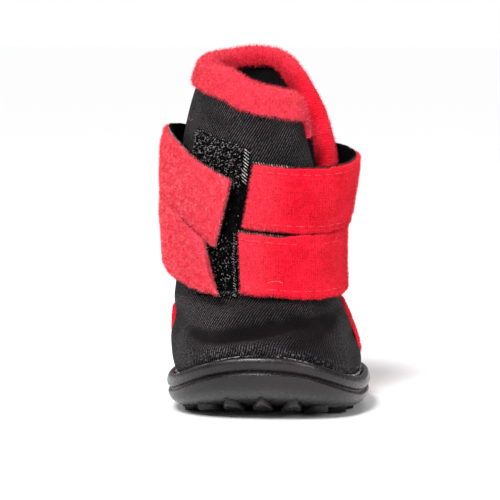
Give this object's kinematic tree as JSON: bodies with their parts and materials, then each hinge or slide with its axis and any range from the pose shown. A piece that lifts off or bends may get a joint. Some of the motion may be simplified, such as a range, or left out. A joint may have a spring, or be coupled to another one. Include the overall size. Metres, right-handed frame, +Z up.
{
  "type": "dog boot",
  "caption": "Soft ankle boot for a dog's paw: black cloth upper on a moulded rubber cup sole, with a red bound collar and two red wrap straps",
  "frame": {"origin": "the middle of the tread's flat central disc, on the surface that the boot stands on", "axes": "+Z up, the toe points along -Y, the slit in the shaft is on the +X side"},
  "size_m": [0.0583, 0.0724, 0.0967],
  "materials": {
    "rubber": "moulded black rubber, semi-gloss",
    "foam": "dark foam faced with cloth, matte",
    "black_cloth": "black ribbed stretch cloth over foam, matte",
    "red_pile": "bright red brushed loop pile, matte",
    "hook_nylon": "black nylon hook tape"
  },
  "bodies": {
    "root": {"outsole": "rubber", "insole": "foam", "upper": "black_cloth", "collar_binding": "red_pile", "heel_panel": "red_pile", "strap_upper": "red_pile", "strap_lower": "red_pile", "hook_patch": "hook_nylon"}
  },
  "joints": []
}
